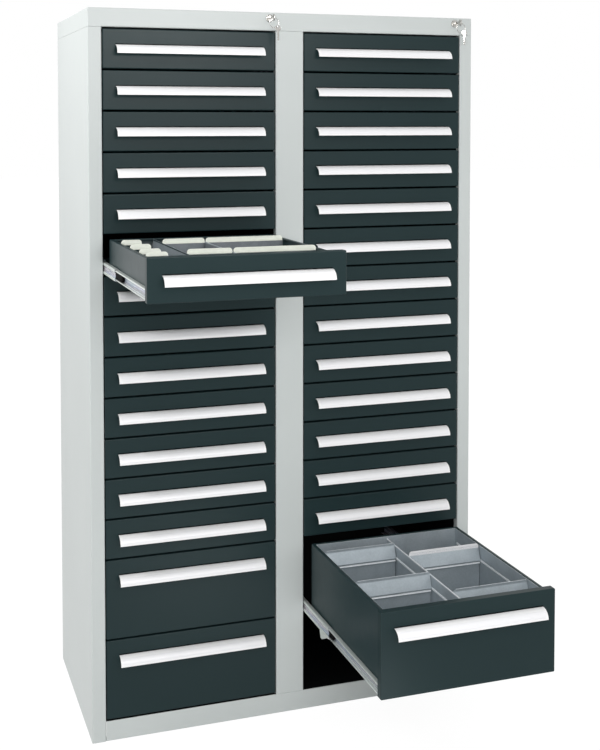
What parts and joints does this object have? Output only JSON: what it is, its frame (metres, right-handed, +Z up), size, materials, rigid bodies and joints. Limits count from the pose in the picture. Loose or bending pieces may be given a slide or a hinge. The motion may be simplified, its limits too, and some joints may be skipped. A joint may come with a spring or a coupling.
{
  "type": "drawer cabinet",
  "caption": "Tall steel drawer cabinet with shallow and deep telescopic drawers, strip handles, drawer dividers, locking bars and an open bay at the bottom right.",
  "frame": {"origin": "middle of the base's underside, under the centre of the carcass", "axes": "+X to the right seen from the front, +Y to the back, +Z up"},
  "size_m": [1.022, 1.0453, 1.8],
  "materials": {
    "carcass_grey": "light grey powder coat, fine texture, semi-matt",
    "front_anthracite": "anthracite powder coat, semi-matt",
    "drawer_box": "anthracite powder coat, semi-matt",
    "handle_white": "white coated strip, satin",
    "galvanised_sheet": "galvanised sheet with a fine spangle",
    "zinc_runner": "bright zinc plate",
    "chrome_lock": "polished"
  },
  "bodies": {
    "cabinet": {"left_side_panel": "carcass_grey", "right_side_panel": "carcass_grey", "top_cover": "carcass_grey", "back_panel": "carcass_grey", "base_pan": "carcass_grey", "centre_post": "carcass_grey", "runner_frame_left_column_left": "zinc_runner", "runner_frame_left_column_right": "zinc_runner", "runner_frame_right_column_left": "zinc_runner", "runner_frame_right_column_right": "zinc_runner"},
    "drawer_left_01": {"drawer_left_01": "front_anthracite"},
    "drawer_left_02": {"drawer_left_02": "front_anthracite"},
    "drawer_left_03": {"drawer_left_03": "front_anthracite"},
    "drawer_left_04": {"drawer_left_04": "front_anthracite"},
    "drawer_left_05": {"drawer_left_05": "front_anthracite"},
    "drawer_left_07": {"drawer_left_07": "front_anthracite"},
    "drawer_left_08": {"drawer_left_08": "front_anthracite"},
    "drawer_left_09": {"drawer_left_09": "front_anthracite"},
    "drawer_left_10": {"drawer_left_10": "front_anthracite"},
    "drawer_left_11": {"drawer_left_11": "front_anthracite"},
    "drawer_left_12": {"drawer_left_12": "front_anthracite"},
    "drawer_left_13": {"drawer_left_13": "front_anthracite"},
    "drawer_left_14": {"drawer_left_14": "front_anthracite"},
    "drawer_left_15": {"drawer_left_15": "front_anthracite"},
    "drawer_right_01": {"drawer_right_01": "front_anthracite"},
    "drawer_right_02": {"drawer_right_02": "front_anthracite"},
    "drawer_right_03": {"drawer_right_03": "front_anthracite"},
    "drawer_right_04": {"drawer_right_04": "front_anthracite"},
    "drawer_right_05": {"drawer_right_05": "front_anthracite"},
    "drawer_right_06": {"drawer_right_06": "front_anthracite"},
    "drawer_right_07": {"drawer_right_07": "front_anthracite"},
    "drawer_right_08": {"drawer_right_08": "front_anthracite"},
    "drawer_right_09": {"drawer_right_09": "front_anthracite"},
    "drawer_right_10": {"drawer_right_10": "front_anthracite"},
    "drawer_right_11": {"drawer_right_11": "front_anthracite"},
    "drawer_right_12": {"drawer_right_12": "front_anthracite"},
    "drawer_right_13": {"drawer_right_13": "front_anthracite"},
    "drawer_left_06": {"drawer_left_06_box": "drawer_box", "drawer_left_06_front": "front_anthracite", "drawer_left_06_handle": "handle_white", "drawer_left_06_narrow_divider": "galvanised_sheet", "drawer_left_06_wide_divider": "galvanised_sheet"},
    "drawer_left_06_slide_left": {"drawer_left_06_slide_left": "zinc_runner"},
    "drawer_left_06_slide_right": {"drawer_left_06_slide_right": "zinc_runner"},
    "drawer_right_14": {"drawer_right_14_box": "drawer_box", "drawer_right_14_front": "front_anthracite", "drawer_right_14_handle": "handle_white", "drawer_right_14_long_divider": "galvanised_sheet", "drawer_right_14_cross_divider_left_front": "galvanised_sheet", "drawer_right_14_cross_divider_left_back": "galvanised_sheet", "drawer_right_14_cross_divider_right_front": "galvanised_sheet", "drawer_right_14_cross_divider_right_back": "galvanised_sheet"},
    "drawer_right_14_slide_left": {"drawer_right_14_slide_left": "zinc_runner"},
    "drawer_right_14_slide_right": {"drawer_right_14_slide_right": "zinc_runner"},
    "lock_plug_left": {"lock_plug_left": "chrome_lock", "lock_key_left": "chrome_lock"},
    "lock_bar_left": {"lock_bar_left": "zinc_runner"},
    "lock_plug_right": {"lock_plug_right": "chrome_lock", "lock_key_right": "chrome_lock"},
    "lock_bar_right": {"lock_bar_right": "zinc_runner"}
  },
  "joints": [
    {"name": "drawer_left_01_slide", "type": "slide", "parent": "cabinet", "child": "drawer_left_01", "axis": [0, -1, 0], "range_m": [0, 0.51]},
    {"name": "drawer_left_02_slide", "type": "slide", "parent": "cabinet", "child": "drawer_left_02", "axis": [0, -1, 0], "range_m": [0, 0.51]},
    {"name": "drawer_left_03_slide", "type": "slide", "parent": "cabinet", "child": "drawer_left_03", "axis": [0, -1, 0], "range_m": [0, 0.51]},
    {"name": "drawer_left_04_slide", "type": "slide", "parent": "cabinet", "child": "drawer_left_04", "axis": [0, -1, 0], "range_m": [0, 0.51]},
    {"name": "drawer_left_05_slide", "type": "slide", "parent": "cabinet", "child": "drawer_left_05", "axis": [0, -1, 0], "range_m": [0, 0.51]},
    {"name": "drawer_left_07_slide", "type": "slide", "parent": "cabinet", "child": "drawer_left_07", "axis": [0, -1, 0], "range_m": [0, 0.51]},
    {"name": "drawer_left_08_slide", "type": "slide", "parent": "cabinet", "child": "drawer_left_08", "axis": [0, -1, 0], "range_m": [0, 0.51]},
    {"name": "drawer_left_09_slide", "type": "slide", "parent": "cabinet", "child": "drawer_left_09", "axis": [0, -1, 0], "range_m": [0, 0.51]},
    {"name": "drawer_left_10_slide", "type": "slide", "parent": "cabinet", "child": "drawer_left_10", "axis": [0, -1, 0], "range_m": [0, 0.51]},
    {"name": "drawer_left_11_slide", "type": "slide", "parent": "cabinet", "child": "drawer_left_11", "axis": [0, -1, 0], "range_m": [0, 0.51]},
    {"name": "drawer_left_12_slide", "type": "slide", "parent": "cabinet", "child": "drawer_left_12", "axis": [0, -1, 0], "range_m": [0, 0.51]},
    {"name": "drawer_left_13_slide", "type": "slide", "parent": "cabinet", "child": "drawer_left_13", "axis": [0, -1, 0], "range_m": [0, 0.51]},
    {"name": "drawer_left_14_slide", "type": "slide", "parent": "cabinet", "child": "drawer_left_14", "axis": [0, -1, 0], "range_m": [0, 0.51]},
    {"name": "drawer_left_15_slide", "type": "slide", "parent": "cabinet", "child": "drawer_left_15", "axis": [0, -1, 0], "range_m": [0, 0.51]},
    {"name": "drawer_right_01_slide", "type": "slide", "parent": "cabinet", "child": "drawer_right_01", "axis": [0, -1, 0], "range_m": [0, 0.51]},
    {"name": "drawer_right_02_slide", "type": "slide", "parent": "cabinet", "child": "drawer_right_02", "axis": [0, -1, 0], "range_m": [0, 0.51]},
    {"name": "drawer_right_03_slide", "type": "slide", "parent": "cabinet", "child": "drawer_right_03", "axis": [0, -1, 0], "range_m": [0, 0.51]},
    {"name": "drawer_right_04_slide", "type": "slide", "parent": "cabinet", "child": "drawer_right_04", "axis": [0, -1, 0], "range_m": [0, 0.51]},
    {"name": "drawer_right_05_slide", "type": "slide", "parent": "cabinet", "child": "drawer_right_05", "axis": [0, -1, 0], "range_m": [0, 0.51]},
    {"name": "drawer_right_06_slide", "type": "slide", "parent": "cabinet", "child": "drawer_right_06", "axis": [0, -1, 0], "range_m": [0, 0.51]},
    {"name": "drawer_right_07_slide", "type": "slide", "parent": "cabinet", "child": "drawer_right_07", "axis": [0, -1, 0], "range_m": [0, 0.51]},
    {"name": "drawer_right_08_slide", "type": "slide", "parent": "cabinet", "child": "drawer_right_08", "axis": [0, -1, 0], "range_m": [0, 0.51]},
    {"name": "drawer_right_09_slide", "type": "slide", "parent": "cabinet", "child": "drawer_right_09", "axis": [0, -1, 0], "range_m": [0, 0.51]},
    {"name": "drawer_right_10_slide", "type": "slide", "parent": "cabinet", "child": "drawer_right_10", "axis": [0, -1, 0], "range_m": [0, 0.51]},
    {"name": "drawer_right_11_slide", "type": "slide", "parent": "cabinet", "child": "drawer_right_11", "axis": [0, -1, 0], "range_m": [0, 0.51]},
    {"name": "drawer_right_12_slide", "type": "slide", "parent": "cabinet", "child": "drawer_right_12", "axis": [0, -1, 0], "range_m": [0, 0.51]},
    {"name": "drawer_right_13_slide", "type": "slide", "parent": "cabinet", "child": "drawer_right_13", "axis": [0, -1, 0], "range_m": [0, 0.51]},
    {"name": "drawer_left_06_slide", "type": "slide", "parent": "cabinet", "child": "drawer_left_06", "axis": [0, -1, 0], "range_m": [-0.5, 0.01]},
    {"name": "drawer_left_06_middle_member_left", "type": "slide", "parent": "cabinet", "child": "drawer_left_06_slide_left", "axis": [0, -1, 0], "range_m": [-0.25, 0.005]},
    {"name": "drawer_left_06_middle_member_right", "type": "slide", "parent": "cabinet", "child": "drawer_left_06_slide_right", "axis": [0, -1, 0], "range_m": [-0.25, 0.005]},
    {"name": "drawer_right_14_slide", "type": "slide", "parent": "cabinet", "child": "drawer_right_14", "axis": [0, -1, 0], "range_m": [-0.51, 0]},
    {"name": "drawer_right_14_middle_member_left", "type": "slide", "parent": "cabinet", "child": "drawer_right_14_slide_left", "axis": [0, -1, 0], "range_m": [-0.255, 0]},
    {"name": "drawer_right_14_middle_member_right", "type": "slide", "parent": "cabinet", "child": "drawer_right_14_slide_right", "axis": [0, -1, 0], "range_m": [-0.255, 0]},
    {"name": "lock_turn_left", "type": "hinge", "parent": "cabinet", "child": "lock_plug_left", "pos_m": [-0.053, -0.255, 1.785], "axis": [0, 1, 0], "range_deg": [0, 90]},
    {"name": "lock_bar_slide_left", "type": "slide", "parent": "cabinet", "child": "lock_bar_left", "axis": [0, 0, -1], "range_m": [0, 0.0134]},
    {"name": "lock_turn_right", "type": "hinge", "parent": "cabinet", "child": "lock_plug_right", "pos_m": [0.461, -0.255, 1.785], "axis": [0, 1, 0], "range_deg": [0, 90]},
    {"name": "lock_bar_slide_right", "type": "slide", "parent": "cabinet", "child": "lock_bar_right", "axis": [0, 0, -1], "range_m": [0, 0.0134]}
  ],
  "couplings": [
    {"joint": "drawer_left_06_middle_member_left", "follows": "drawer_left_06_slide", "ratio": 0.5},
    {"joint": "drawer_left_06_middle_member_right", "follows": "drawer_left_06_slide", "ratio": 0.5},
    {"joint": "drawer_right_14_middle_member_left", "follows": "drawer_right_14_slide", "ratio": 0.5},
    {"joint": "drawer_right_14_middle_member_right", "follows": "drawer_right_14_slide", "ratio": 0.5},
    {"joint": "lock_turn_left", "follows": "lock_bar_slide_left", "rad_per_m": 116.96},
    {"joint": "lock_turn_right", "follows": "lock_bar_slide_right", "rad_per_m": 116.96}
  ]
}
